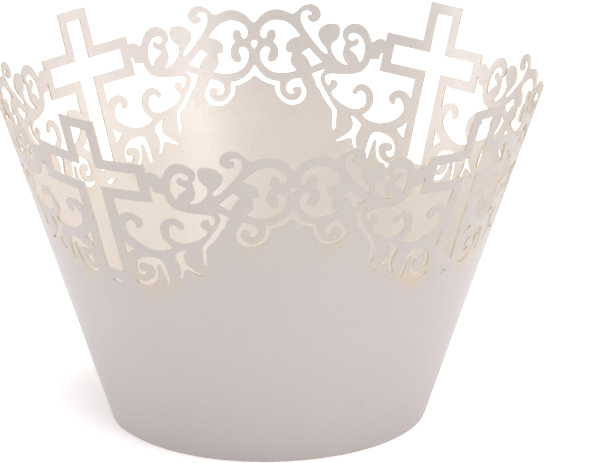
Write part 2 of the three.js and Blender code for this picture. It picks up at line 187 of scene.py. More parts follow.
@dataclass
class LaceDrawing:
    """Half a panel of lace and half a cross, as strokes that meet in corners.

    Each table is one edge or cut, as strokes that follow each other. Their knots are across from
    the panel's axis and up from the lowest cut.

    Attributes:
        cone: the cone that the strip is rolled on.
        step: distance between the points of a curve.
        rim_steps: straight runs along half a panel's bottom rim.
        cross_top: top of the cross.
        arm_top: upper edge of the arms.
        arm_bottom: lower edge of the arms.
        arm_half_length: from the cross's axis to the end of an arm.
        stem_half_width: half the width of the stem.
        bar_width: width of the bars that outline the cross.
        foot_height: lower end of the opening in the stem.
        slit_height: middle of the small slit below the foot.
        slit_half_width: half the slit's width.
        slit_half_depth: half the slit's height.
        bridge_top: where the scrolls join the end of the arm, upper edge.
        bridge_bottom: the same, lower edge.
    """

    cone: Cone
    step: float = 0.3
    rim_steps: int = 12
    cross_top: float = 30.9
    arm_top: float = 24.3
    arm_bottom: float = 17.7
    arm_half_length: float = 10.25
    stem_half_width: float = 3.3
    bar_width: float = 1.7
    foot_height: float = 4.05
    slit_height: float = 2.0
    slit_half_width: float = 1.1
    slit_half_depth: float = 0.45
    bridge_top: float = 22.7
    bridge_bottom: float = 20.74

    TOP_EDGE = [
        [(0, 25), (0.45, 25.3), (1, 26), (2, 26.75), (3, 27.1), (4, 27.18), (5, 26.95),
         (5.8, 26.6), (6.4, 26.35)],
        [(6.4, 26.35), (7, 26.7), (7.6, 27.3), (8.35, 27.75), (9.2, 27.95), (10.1, 27.75),
         (10.8, 27.15), (11.1, 26.2), (10.95, 25.5), (10.5, 25.05), (9.9, 24.88), (9.25, 25.05),
         (8.9, 25.5), (8.9, 26), (9.05, 26.2)],
        [(9.05, 26.2), (9.35, 26.1), (9.6, 26.2)],
        [(9.6, 26.2), (9.5, 26.55), (9.15, 26.8), (8.7, 26.87), (8.2, 26.7), (7.87, 26.3),
         (7.75, 25.6), (7.9, 24.8), (8.3, 23.9), (8.9, 22.9), (9.7, 21.75), (10.5, 20.7),
         (11.3, 19.8), (12, 19.38)],
        [(12, 19.38), (12.08, 19.8), (11.85, 20.4), (11.25, 21.2), (10.75, 22), (10.55, 22.7),
         (10.65, 23.4), (11.05, 23.95), (11.65, 24.35), (12.4, 24.55), (13.2, 24.55),
         (13.85, 24.4), (14.2, 24), (14.3, 23.3), (14.2, 22.6), (13.95, 22), (13.5, 21.6),
         (12.85, 21.15)],
        [(12.85, 21.15), (12.75, 20.6), (12.82, 19.9), (13.15, 19.2), (13.65, 18.5),
         (14.2, 17.98), (14.9, 17.6), (15.5, 17.48)],
        [(15.5, 17.48), (15.2, 17.9), (14.85, 18.5), (14.65, 19.2), (14.7, 19.95),
         (14.95, 20.7), (15.2, 21.3)],
        [(15.2, 21.3), (14.9, 21.8), (14.7, 22.4), (14.72, 23), (14.95, 23.6), (15.45, 24.05),
         (16.1, 24.35), (16.9, 24.45), (17.8, 24.25), (18.6, 23.65), (19.15, 22.85), (19.45, 22),
         (19.75, 21.15)],
        [(19.75, 21.15), (20.15, 21.35), (20.6, 21.6), (21.1, 21.72), (21.6, 21.68),
         (22.05, 21.45), (22.27, 21.24)],
    ]
    OVAL = [
        [(1.1, 22.95), (1.35, 22.42), (1.7, 22.3), (1.98, 22.55), (2.1, 23.1), (2.3, 23.55),
         (2.7, 23.78), (3.15, 23.75), (3.5, 23.45), (3.6, 22.9), (3.5, 22.3), (3.15, 21.75)],
        [(3.15, 21.75), (3.6, 21.25), (3.9, 20.6), (4, 19.8), (3.8, 19), (3.4, 18.5),
         (2.8, 18.3), (2.3, 18.4), (2.15, 18.85), (2.25, 19.4), (2.45, 20), (2.55, 20.45),
         (2.4, 20.82), (2, 20.95), (1.5, 20.78), (1.1, 20.3), (0.95, 19.65), (1.02, 18.95),
         (1.3, 18.2), (1.8, 17.5), (2.4, 16.97), (3.2, 16.57), (4.2, 16.45), (5.3, 16.45),
         (6.2, 16.58), (6.92, 16.85)],
        [(6.92, 16.85), (6.5, 17.25), (6.1, 17.75), (5.92, 18.4), (5.98, 19.1), (6.15, 19.75)],
        [(6.15, 19.75), (5.75, 19.85), (5.35, 20), (5.12, 20.45), (5.15, 21.1), (5.5, 21.7),
         (6.1, 22.15), (6.8, 22.4), (7.6, 22.52)],
        [(7.6, 22.52), (7.2, 23.2), (6.6, 23.95), (5.9, 24.6), (5.2, 25.07), (4.4, 25.33),
         (3.5, 25.4), (2.6, 25.2), (1.85, 24.75), (1.3, 24.15), (1.07, 23.5), (1.1, 22.95)],
    ]
    DIAMOND = [[(0, 22.1), (0.35, 21.97), (0.58, 21.6), (0.4, 21.15), (0, 20.5)]]
    KITE = [
        [(7.75, 19.75), (8.3, 20.08), (9, 20.55)],
        [(9, 20.55), (9.6, 19.85), (10.4, 18.95), (11.2, 18.1)],
        [(11.2, 18.1), (10.3, 17.8), (9.3, 17.35)],
        [(9.3, 17.35), (9.1, 17.95), (8.85, 18.55), (8.4, 19.15), (7.75, 19.75)],
    ]
    CURL_CUT = [
        [(0, 17.9), (0.4, 17.3), (0.9, 16.6), (1.6, 15.9), (2.3, 15.45), (3.2, 15.15),
         (4, 15.05)],
        [(4, 15.05), (3.98, 14.4), (4, 13.7), (4.15, 13.1), (4.5, 12.5), (5, 12.05),
         (5.6, 11.78), (6.3, 11.75), (6.9, 11.95), (7.4, 12.4), (7.65, 12.95), (7.7, 13.45),
         (7.5, 13.9), (7.05, 14.05), (6.5, 13.98), (6.12, 13.75)],
        [(6.12, 13.75), (6.15, 13.45), (6.45, 13.15)],
        [(6.45, 13.15), (6.3, 12.92), (5.95, 12.85), (5.5, 13), (5.2, 13.35), (5.1, 13.85),
         (5.25, 14.4), (5.6, 14.85), (6.1, 15.2), (6.8, 15.42), (7.55, 15.45)],
        [(7.55, 15.45), (7.75, 14.85), (8.05, 14.2), (8.32, 13.6), (8.4, 12.95), (8.2, 12.25),
         (7.8, 11.65), (7.2, 11.2), (6.5, 11), (5.75, 11), (5, 11.27), (4.35, 11.75),
         (3.8, 12.4), (3.42, 13.1), (3.3, 13.8), (3.3, 14.35)],
        [(3.3, 14.35), (2.4, 14.6), (1.6, 14.95), (0.9, 15.4), (0.35, 15.87), (0, 16.1)],
    ]
    ROUND_CURL = [
        [(15.9, 20.1), (16.35, 20.5), (16.9, 20.62), (17.3, 20.9), (17.45, 21.3),
         (17.38, 21.7), (17.1, 21.92), (16.8, 21.8), (16.45, 21.53)],
        [(16.45, 21.53), (16.05, 21.6), (15.75, 21.82), (15.65, 22.15), (15.85, 22.58),
         (16.3, 22.83), (16.85, 22.83), (17.45, 22.55), (18, 22), (18.35, 21.25), (18.5, 20.4),
         (18.42, 19.55), (18.2, 18.8), (17.95, 18.25), (17.6, 17.87)],
        [(17.6, 17.87), (17.35, 18.1), (17.2, 18.6), (16.9, 19.15), (16.4, 19.65),
         (15.9, 20.1)],
    ]
    LONG_SLIT = [
        [(9.37, 16.1), (10.1, 16.42), (10.9, 16.7), (11.65, 16.87)],
        [(11.65, 16.87), (11.2, 16.45), (10.88, 15.9), (10.8, 15.3), (10.95, 14.6),
         (11.3, 13.7), (11.9, 12.7), (12.45, 11.6), (12.95, 10.75), (13.4, 10.1)],
        [(13.4, 10.1), (13.42, 9.3), (13.3, 8.2), (13.15, 7), (12.85, 6.6), (12.6, 6.85),
         (12.6, 7.6), (12.68, 8.6), (12.72, 9.4), (12.6, 10.05)],
        [(12.6, 10.05), (12.1, 10.75), (11.5, 11.6), (11, 12.6), (10.6, 13.5), (10.15, 14.1),
         (9.95, 14.7), (9.8, 15.3), (9.37, 16.1)],
    ]
    FORK = [
        [(15.7, 9.1), (16.6, 8.6), (17.2, 8), (17.6, 7.4), (17.45, 6.9), (17, 6.2),
         (16.7, 5.5), (16.6, 4.8), (16.7, 4), (16.9, 3.3)],
        [(16.9, 3.3), (16.6, 3.2), (16.25, 3.7), (16.05, 4.4), (16, 5.15)],
        [(16, 5.15), (15.4, 5.2), (14.7, 5), (13.9, 4.75), (13.1, 4.6)],
        [(13.1, 4.6), (13.5, 4.95), (14.2, 5.35), (15, 5.8), (15.7, 6.3), (16.1, 6.9),
         (16.2, 7.6), (16.05, 8.4), (15.7, 9.1)],
    ]
    SNAIL = [
        [(18.2, 1.9), (18.35, 3), (18.7, 4.1), (19.1, 5.1), (19.55, 5.8), (20.2, 6.08),
         (21.2, 6), (22.2, 5.65), (23, 5.1), (23.6, 4.4), (23.87, 3.5), (23.8, 2.7),
         (23.6, 2.1)],
        [(23.6, 2.1), (23.1, 1.85), (22.6, 1.92), (22.2, 2.3), (22.1, 2.85)],
        [(22.1, 2.85), (22.55, 2.8), (23, 2.85), (23.3, 3.2), (23.3, 3.75), (22.85, 4.15),
         (22, 4.25), (21.25, 4.1), (20.87, 3.65), (20.75, 3), (20.9, 2.3), (21.3, 1.6),
         (22, 1.05), (22.8, 0.7), (23.5, 0.7)],
        [(23.5, 0.7), (23.75, 0.42), (23.5, 0.15)],
        [(23.5, 0.15), (22.7, 0.05), (21.9, 0.25), (21.1, 0.8), (20.5, 1.6), (20.22, 2.6),
         (20.2, 3.6), (20.35, 4.4), (20.25, 4.95)],
        [(20.25, 4.95), (19.95, 4.8), (19.5, 3.9), (19.1, 2.8), (18.8, 1.9)],
        [(18.8, 1.9), (18.5, 1.65), (18.2, 1.9)],
    ]
    CORNER = [
        [(26.3, 7.65), (26.05, 6.9), (25.75, 5.9), (25.45, 4.8)],
        [(25.45, 4.8), (25.05, 5.3), (24.6, 5.9), (24.15, 6.45)],
        [(24.15, 6.45), (24.9, 6.7), (25.6, 7.1), (26.3, 7.65)],
    ]
    OPENING_TOP = [
        [(11.6, 15.2), (11.65, 15.65), (12, 15.95), (12.7, 16.1), (14, 16.02), (15.5, 15.95),
         (17, 16.05), (18, 16.35)],
        [(18, 16.35), (18.6, 16.95), (19.05, 17.6), (19.4, 18.35)],
        [(19.4, 18.35), (20.2, 18.3), (20.95, 18.3)],
        [(20.95, 18.3), (21.1, 18.75), (21.4, 19.2), (21.75, 19.29)],
    ]
    OPENING_CURLS = [
        [(26.9, 11.3), (26.6, 11.85), (26.2, 12.35), (25.6, 12.75), (24.8, 12.98),
         (24, 12.95), (23.4, 12.7), (22.95, 12.25), (22.75, 11.75), (22.85, 11.2),
         (23.15, 10.8), (23.55, 10.6), (23.75, 10.65)],
        [(23.75, 10.65), (23.85, 11.1), (24.1, 11.55), (24.5, 11.75), (24.95, 11.5),
         (25.35, 10.95), (25.55, 10.3), (25.55, 9.7), (25.25, 9.15), (24.7, 8.65), (24, 8.2),
         (23, 7.85), (22, 7.62), (21, 7.55), (20, 7.7), (19, 8.05), (18.3, 8.45),
         (17.9, 8.85)],
        [(17.9, 8.85), (18.4, 9.3), (19, 9.7), (19.5, 10.3), (19.8, 11.1), (19.87, 12),
         (19.7, 12.8), (19.3, 13.5), (18.6, 14.05), (17.8, 14.25), (17.1, 14.1),
         (16.55, 13.65), (16.22, 13.1), (16.3, 12.7), (16.6, 12.52), (16.95, 12.55)],
        [(16.95, 12.55), (17.3, 12.95), (17.8, 13.1), (18.3, 12.8), (18.58, 12.2),
         (18.6, 11.5), (18.45, 10.85), (18, 10.4), (17.4, 10.15), (16.6, 10.05),
         (15.7, 10.25), (14.8, 10.7), (13.9, 11.3), (13.25, 11.9), (12.8, 12.45),
         (12.6, 12.95)],
        [(12.6, 12.95), (12.95, 13.35), (13.4, 13.6), (13.7, 14.05), (13.65, 14.6),
         (13.25, 15.02), (12.65, 15.08)],
        [(12.65, 15.08), (12.5, 14.8), (12.4, 14.4), (12.2, 14.15), (11.9, 14.35),
         (11.67, 14.8), (11.6, 15.2)],
    ]

    def curve(self, knots: Stroke) -> List[Point]:
        """Draws one smooth stroke through its knots, as a centripetal spline.

        Args:
            knots: the points that the stroke passes.

        Returns:
            Points about a step apart, without the last one.
        """
        ends = [Vector(p) for p in knots]
        padded = [2 * ends[0] - ends[1], *ends, 2 * ends[-1] - ends[-2]]
        drawn: List[Point] = []
        for i in range(1, len(padded) - 2):
            p0, p1, p2, p3 = padded[i - 1 : i + 3]
            t1 = self.knot_gap(p0, p1)
            t2 = t1 + self.knot_gap(p1, p2)
            t3 = t2 + self.knot_gap(p2, p3)
            count = max(1, round((p2 - p1).length / self.step))
            for k in range(count):
                t = t1 + (t2 - t1) * k / count
                a1 = p0 * (t1 - t) / t1 + p1 * t / t1
                a2 = p1 * (t2 - t) / (t2 - t1) + p2 * (t - t1) / (t2 - t1)
                a3 = p2 * (t3 - t) / (t3 - t2) + p3 * (t - t2) / (t3 - t2)
                b1 = a1 * (t2 - t) / t2 + a2 * t / t2
                b2 = a2 * (t3 - t) / (t3 - t1) + a3 * (t - t1) / (t3 - t1)
                drawn.append(tuple(b1 * (t2 - t) / (t2 - t1) + b2 * (t - t1) / (t2 - t1)))
        return drawn

    @staticmethod
    def knot_gap(first: Vector, second: Vector) -> float:
        """Returns how far apart a centripetal spline counts two knots, never quite zero."""
        return max((second - first).length, 1e-6) ** 0.5

    def chain(self, strokes: Sequence[Stroke]) -> List[Point]:
        """Draws strokes that follow each other and lays them on the flat sheet.

        Args:
            strokes: the strokes, each starting where the last one ended.

        Returns:
            Points on the flat sheet, without the last stroke's end.
        """
        points = [point for knots in strokes for point in self.curve(knots)]
        return [self.cone.from_panel(point) for point in points]

    def outline(self) -> List[Point]:
        """Returns the edge of half a panel: its axis, the top edge, the cross and the rim."""
        cone = self.cone
        half = self.stem_half_width
        arm = self.arm_half_length
        bar = self.bar_width
        top = [
            (arm, self.bridge_top), (arm, self.arm_top), (half, self.arm_top),
            (half, self.cross_top), (0.0, self.cross_top), (0.0, self.cross_top - bar),
            (half - bar, self.cross_top - bar), (half - bar, self.arm_top - bar),
            (arm - bar, self.arm_top - bar), (arm - bar, self.arm_bottom + bar),
            (half - bar, self.arm_bottom + bar), (half - bar, self.foot_height),
            (0.0, self.foot_height), (0.0, self.slit_height + self.slit_half_depth),
            (self.slit_half_width, self.slit_height),
            (0.0, self.slit_height - self.slit_half_depth),
        ]
        turns = (cone.half_fan * (1 - k / self.rim_steps) for k in range(self.rim_steps + 1))
        rim = [
            (cone.fan_radius * math.sin(turn), cone.fan_radius * math.cos(turn))
            for turn in turns
        ]
        axis = []
        for cut in (self.CURL_CUT, self.DIAMOND):
            axis += [cone.from_panel(cut[-1][-1]), *reversed(self.chain(cut))]
        return [*self.chain(self.TOP_EDGE), *map(cone.from_cross, top), *rim, *axis]

    def openings(self) -> List[List[Point]]:
        """Returns the rings of the cuts that lie inside half a panel."""
        cone = self.cone
        bars = [
            (self.arm_half_length, self.bridge_bottom),
            (self.arm_half_length, self.arm_bottom),
            (self.stem_half_width, self.arm_bottom),
        ]
        large = [
            *self.chain(self.OPENING_TOP), *map(cone.from_cross, bars),
            *self.chain(self.OPENING_CURLS),
        ]
        cuts = [
            self.OVAL, self.KITE, self.ROUND_CURL, self.LONG_SLIT, self.FORK, self.SNAIL,
            self.CORNER,
        ]
        return [large, *map(self.chain, cuts)]


@dataclass
class LaceStrip:
    """The whole strip of card: cut flat, joined from half panels, thickened and rolled.

    Attributes:
        cone: the cone that it is rolled on.
        drawing: the lace.
        spring: how the rolled card stands off the cone.
        thickness: of the card.
        facet: degrees round the wrapper between two lines of points.
        lap_width: how far the inner end runs under the outer one.
        lap_height: up the slope to the top of the plain tab.
        web_lap: the same overlap where the lace is joined.
        tab_steps: straight runs across the tab.
        ease: degrees over which the outer end climbs on to the inner one.
        bm: the sheet, in millimetres until it is rolled.
    """

    cone: Cone
    drawing: LaceDrawing
    spring: Spring = Spring()
    thickness: float = 0.3
    facet: float = 1.5
    lap_width: float = 8.0
    lap_height: float = 38.0
    web_lap: float = 0.8
    tab_steps: int = 12
    ease: float = 15.0
    bm: bmesh.types.BMesh = field(default_factory=bmesh.new)

    # The least distance between two points of a ring.
    SPACING = 0.02
    # Points of the sheet that lie this close become one.
    JOINING = 0.002
    # How far off a ruled line a point still lies on it.
    LINE_SLACK = 1e-5
    # How far off the seam a point still lies on it, in radians.
    SEAM_SLACK = 1e-5
    # How far above the tab's top a seam edge may end and still belong to the tab.
    TAB_SLACK = 0.5
    # How upright a face's normal is, from 0 to 1, where the face is a side of the card.
    SIDE = 0.9
    # Degrees between two faces from which their edge is sharp.
    SHARP = 40.0

    def ring(self, points: Sequence[Point]) -> List[bmesh.types.BMEdge]:
        """Adds a closed ring of edges in the flat sheet.

        Args:
            points: the ring's points in order.

        Returns:
            Its edges.
        """
        spaced: List[Point] = []
        for point in points:
            if not spaced or math.dist(point, spaced[-1]) > self.SPACING:
                spaced.append(point)
        verts = [self.bm.verts.new((x, y, 0.0)) for x, y in spaced]
        return [self.bm.edges.new((a, b)) for a, b in zip(verts, verts[1:] + verts[:1])]

    def fill_half_panel(self) -> None:
        """Fills the half panel between its outline and its cuts."""
        edges = self.ring(self.drawing.outline())
        for opening in self.drawing.openings():
            edges += self.ring(opening)
        bmesh.ops.triangle_fill(self.bm, use_beauty=True, edges=edges, normal=(0, 0, 1))

    def rule_lines(self) -> None:
        """Cuts the half panel along lines to the tip, where the rolled card bends."""
        count = round(180 / self.cone.repeats / self.facet)
        for k in range(1, count):
            turn = self.cone.half_fan * k / count
            bmesh.ops.bisect_plane(
                self.bm, geom=self.everything(), dist=self.LINE_SLACK, plane_co=(0, 0, 0),
                plane_no=(math.cos(turn), -math.sin(turn), 0),
            )

    def everything(self) -> list:
        """Returns all vertices, edges and faces."""
        return [*self.bm.verts, *self.bm.edges, *self.bm.faces]

    def note_drawing(self) -> None:
        """Keeps each corner's place in the drawing, for the scorch marks beside the cuts."""
        layer = self.bm.loops.layers.uv.new("Drawing")
        low = self.cone.fan_radius + self.cone.plain_height
        for face in self.bm.faces:
            for loop in face.loops:
                co = loop.vert.co
                across = co.x / self.cone.stretch
                loop[layer].uv = (across * DRAWING_UNIT, (co.y - low) * DRAWING_UNIT)

    def repeat(self) -> None:
        """Mirrors the half panel about its axis and turns copies of it round the tip."""
        self.add_copy(self.everything(), Matrix.Scale(-1, 4, (1, 0, 0)))
        panel = self.everything()
        for place in (-1, 1, 2):
            turn = -2 * self.cone.half_fan * place
            self.add_copy(panel, Matrix.Rotation(turn, 4, "Z"))
        self.join()
        seam = self.cone.seam_angle
        centres = ((face, face.calc_center_median()) for face in self.bm.faces)
        beyond = [face for face, centre in centres if self.fan_angle(centre) > seam]
        bmesh.ops.rotate(
            self.bm, verts=self.split_off(beyond), cent=(0, 0, 0),
            matrix=Matrix.Rotation(2 * seam, 3, "Z"),
        )
        self.join()

    def join(self) -> None:
        """Joins parts of the sheet where their points meet."""
        bmesh.ops.remove_doubles(self.bm, verts=self.bm.verts[:], dist=self.JOINING)

    def split_off(self, faces: List[bmesh.types.BMFace]) -> List[bmesh.types.BMVert]:
        """Parts faces from the rest of the sheet.

        Args:
            faces: the faces that come away.

        Returns:
            Their vertices.
        """
        parted = bmesh.ops.split(self.bm, geom=faces)["geom"]
        return [g for g in parted if isinstance(g, bmesh.types.BMVert)]

    def add_copy(self, source: list, matrix: Matrix) -> None:
        """Adds a copy of part of the sheet, moved by a matrix.

        Args:
            source: what is copied.
            matrix: where the copy goes.
        """
        made = bmesh.ops.duplicate(self.bm, geom=source)["geom"]
        verts = [g for g in made if isinstance(g, bmesh.types.BMVert)]
        bmesh.ops.transform(self.bm, matrix=matrix, verts=verts)

    @staticmethod
    def fan_angle(co: Vector) -> float:
        """Returns a point's angle in the flat sheet from the first panel's axis."""
        return math.atan2(co.x, co.y)

    def add_tab(self) -> None:
        """Runs the inner end on past the seam: a plain tab, and a narrow web above it."""
        cone = self.cone
        edges = [e for e in self.bm.edges if e.is_boundary and all(map(self.on_seam, e.verts))]
        top = cone.fan_radius + self.lap_height + self.TAB_SLACK
        low = [e for e in edges if max(v.co.length for v in e.verts) <= top]
        high = [e for e in edges if e not in low]
        tab = (low, self.lap_width / cone.fan_radius, self.tab_steps)
        webs = (high, self.web_lap / (cone.fan_radius + self.lap_height), 1)
        for part, angle, steps in (tab, webs):
            bmesh.ops.spin(
                self.bm, geom=part, cent=(0, 0, 0), axis=(0, 0, 1), dvec=(0, 0, 0),
                angle=-angle, steps=steps, use_merge=False, use_duplicate=False,
            )
        log.info("tab: %d edges under it, %d under the webs", len(low), len(high))
        self.join()

    def on_seam(self, vert: bmesh.types.BMVert) -> bool:
        """Says whether a point of the flat sheet lies on the seam."""
        return abs(self.fan_angle(vert.co) - self.cone.seam_angle) < self.SEAM_SLACK

    def thicken(self) -> None:
        """Gives the flat sheet the card's thickness, with the faces pointing outwards."""
        bm = self.bm
        bm.normal_update()
        for face in bm.faces:
            if face.normal.z < 0:
                face.normal_flip()
        made = bmesh.ops.extrude_face_region(bm, geom=bm.faces[:], use_keep_orig=True)["geom"]
        verts = [g for g in made if isinstance(g, bmesh.types.BMVert)]
        bmesh.ops.translate(bm, verts=verts, vec=(0, 0, self.thickness))
        bmesh.ops.recalc_face_normals(bm, faces=bm.faces[:])

    def dress_sides(self) -> None:
        """Gives each face the material of its side of the card."""
        for face in self.bm.faces:
            if face.normal.z > self.SIDE:
                face.material_index = CardSide.OUTSIDE.value
            elif face.normal.z < -self.SIDE:
                face.material_index = CardSide.INSIDE.value
            else:
                face.material_index = CardSide.CUT_EDGE.value
            face.smooth = True

    def note_flat_place(self) -> None:
        """Keeps each corner's place in the flat sheet, which the grain of the card follows."""
        layer = self.bm.loops.layers.uv.new("Flat")
        for face in self.bm.faces:
            for loop in face.loops:
                loop[layer].uv = (loop.vert.co.x * MM, loop.vert.co.y * MM)

    def roll(self, co: Vector) -> Vector:
        """Lays a point of the thick flat strip on the cone.

        Args:
            co: the point, in millimetres.

        Returns:
            Its place on the wrapper, in metres.
        """
        cone = self.cone
        turn = math.degrees(self.fan_angle(co)) / math.sin(cone.slope)
        up = math.hypot(co.x, co.y) - cone.fan_radius
        lap_turn = math.degrees(self.lap_width / cone.fan_radius) / math.sin(cone.slope)
        climb = min(1.0, max(0.0, 1 - (turn + 180 - lap_turn) / self.ease))
        climb = climb * climb * (3 - 2 * climb)
        radius = (cone.fan_radius + up) * math.sin(cone.slope)
        radius += (co.z + climb * self.thickness) / math.cos(cone.slope)
        radius += self.spring.lean(cone, turn, up)
        angle = math.radians(turn)
        height = up * math.cos(cone.slope)
        return Vector((radius * math.cos(angle), radius * math.sin(angle), height)) * MM

    def build(self, name: str) -> bpy.types.Object:
        """Builds the strip and rolls it.

        Args:
            name: the piece's name.

        Returns:
            The finished object, in the scene.
        """
        self.fill_half_panel()
        self.rule_lines()
        self.note_drawing()
        self.repeat()
        self.add_tab()
        self.thicken()
        self.dress_sides()
        self.note_flat_place()
        for vert in self.bm.verts:
            vert.co = self.roll(vert.co)
        self.bm.normal_update()
        mesh = bpy.data.meshes.new(name)
        self.bm.to_mesh(mesh)
        self.bm.free()
        mesh.set_sharp_from_angle(angle=math.radians(self.SHARP))
        piece = bpy.data.objects.new(name, mesh)
        bpy.context.scene.collection.objects.link(piece)
        return piece


class NodeTree:
    """Adds and links the nodes of one material or world.

    Attributes:
        tree: the nodes.
    """

    def __init__(self, owner: bpy.types.ID) -> None:
        """Starts from the nodes that come with the owner.

        Args:
            owner: the material or world.
        """
        owner.use_nodes = True
        self.tree = owner.node_tree

    def feed(self, slot: Socket, value: object) -> None:
        """Feeds an input from another node's output, or with a plain value."""
        if isinstance(value, Socket):
            self.tree.links.new(value, slot)
        else:
            slot.default_value = value

    def node(self, kind: str, **inputs: object) -> bpy.types.Node:
        """Adds a node.

        Args:
            kind: its type, without the prefix that all types share.
            inputs: what feeds its inputs, each named with _ for a space.

        Returns:
            The node.
        """
        node = self.tree.nodes.new(f"ShaderNode{kind}")
        for name, value in inputs.items():
            self.feed(node.inputs[name.replace("_", " ")], value)
        return node

    def uv(self, layer: str) -> Socket:
        """Returns the coordinates of one of the piece's UV maps."""
        node = self.node("UVMap")
        node.uv_map = layer
        return node.outputs["UV"]

    def noise(self, place: Socket, scale: float, detail: float) -> Socket:
        """Adds a noise pattern.

        Args:
            place: the coordinates that it follows.
            scale: repeats in a metre.
            detail: levels of finer noise.

        Returns:
            Its value.
        """
        return self.node("TexNoise", Vector=place, Scale=scale, Detail=detail).outputs["Fac"]

    def math(self, operation: str, *values: Socket) -> Socket:
        """Adds a sum.

        Args:
            operation: what it does.
            values: what it works on.

        Returns:
            Its result.
        """
        node = self.node("Math")
        node.operation = operation
        for slot, value in zip(node.inputs, values):
            self.feed(slot, value)
        return node.outputs["Value"]

    def vector_math(self, operation: str, first: Socket) -> bpy.types.Node:
        """Adds a sum of vectors.

        Args:
            operation: what it does.
            first: the first vector.

        Returns:
            The node, whose other inputs are still free.
        """
        node = self.node("VectorMath")
        node.operation = operation
        self.feed(node.inputs[0], first)
        return node

    def remap(self, value: Socket, source: Span, result: Span, smooth: bool = False) -> Socket:
        """Turns one span of values into another.

        Args:
            value: what is turned.
            source: the span that it comes from.
            result: the span that it becomes.
            smooth: whether it eases in and out.

        Returns:
            The new value.
        """
        node = self.node(
            "MapRange", Value=value, From_Min=source[0], From_Max=source[1],
            To_Min=result[0], To_Max=result[1],
        )
        if smooth:
            node.interpolation_type = "SMOOTHSTEP"
        return node.outputs["Result"]

    def ramp(self, factor: Socket, low: Colour, high: Colour, span: Span) -> Socket:
        """Turns a pattern into colours.

        Args:
            factor: the pattern.
            low: linear colour at the lower end of the span.
            high: linear colour at the upper end.
            span: values of the pattern between which the colours mix.

        Returns:
            The colour.
        """
        node = self.node("ValToRGB", Fac=factor)
        for stop, place, colour in zip(node.color_ramp.elements, span, (low, high)):
            stop.position = place
            stop.color = (*colour, 1.0)
        return node.outputs["Color"]

    def mix(self, factor: Socket, first: object, second: object) -> Socket:
        """Mixes two colours.

        Args:
            factor: how much of the second colour, from 0 to 1.
            first: the first colour, a socket or four plain values.
            second: the second colour, likewise.

        Returns:
            The mixed colour.
        """
        node = self.node("Mix")
        node.data_type = "RGBA"
        for name, value in (("Factor", factor), ("A", first), ("B", second)):
            self.feed(node.inputs[name], value)
        return node.outputs["Result"]

    def tone(self, colour: Socket, pattern: Socket, depth: float) -> Socket:
        """Lightens and darkens a colour by a pattern.

        Args:
            colour: the colour.
            pattern: a noise pattern.
            depth: how far it lightens and darkens, from 0 to 1.

        Returns:
            The toned colour.
        """
        scaled = self.vector_math("SCALE", colour)
        level = self.remap(pattern, NOISE_SPAN, (1 - depth, 1 + depth))
        self.feed(scaled.inputs["Scale"], level)
        return scaled.outputs["Vector"]


